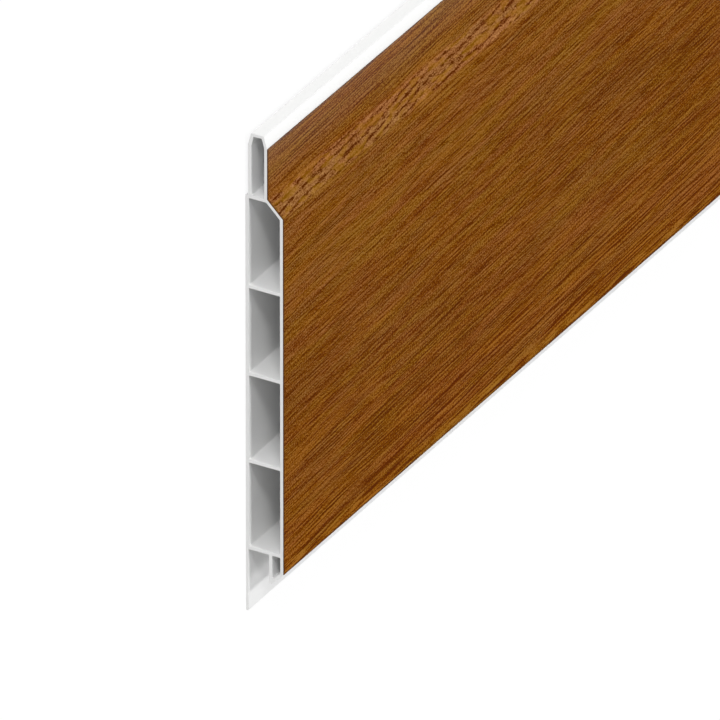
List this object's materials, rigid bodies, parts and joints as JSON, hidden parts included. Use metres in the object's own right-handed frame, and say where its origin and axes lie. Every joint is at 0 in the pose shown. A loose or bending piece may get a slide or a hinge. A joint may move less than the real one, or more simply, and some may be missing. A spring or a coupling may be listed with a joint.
{
  "type": "soffit board",
  "caption": "Hollow tongue-and-groove soffit board with a nailing leg, hollow nose, bevelled show side and woodgrain foil, lying on its back.",
  "frame": {"origin": "centre of the board's length and overall width, on the plane of its back face", "axes": "+X along the board, +Y across it from the nailing leg to the tongue, +Z out of the foiled show side"},
  "size_m": [2.5, 0.1128, 0.009],
  "materials": {
    "white_plastic": "white rigid PVC, extruded, satin sheen, sawn ends",
    "woodgrain_foil": "printed and embossed oak woodgrain foil, low satin sheen"
  },
  "bodies": {
    "root": {"hollow_profile": "white_plastic", "woodgrain_foil": "woodgrain_foil"}
  },
  "joints": []
}
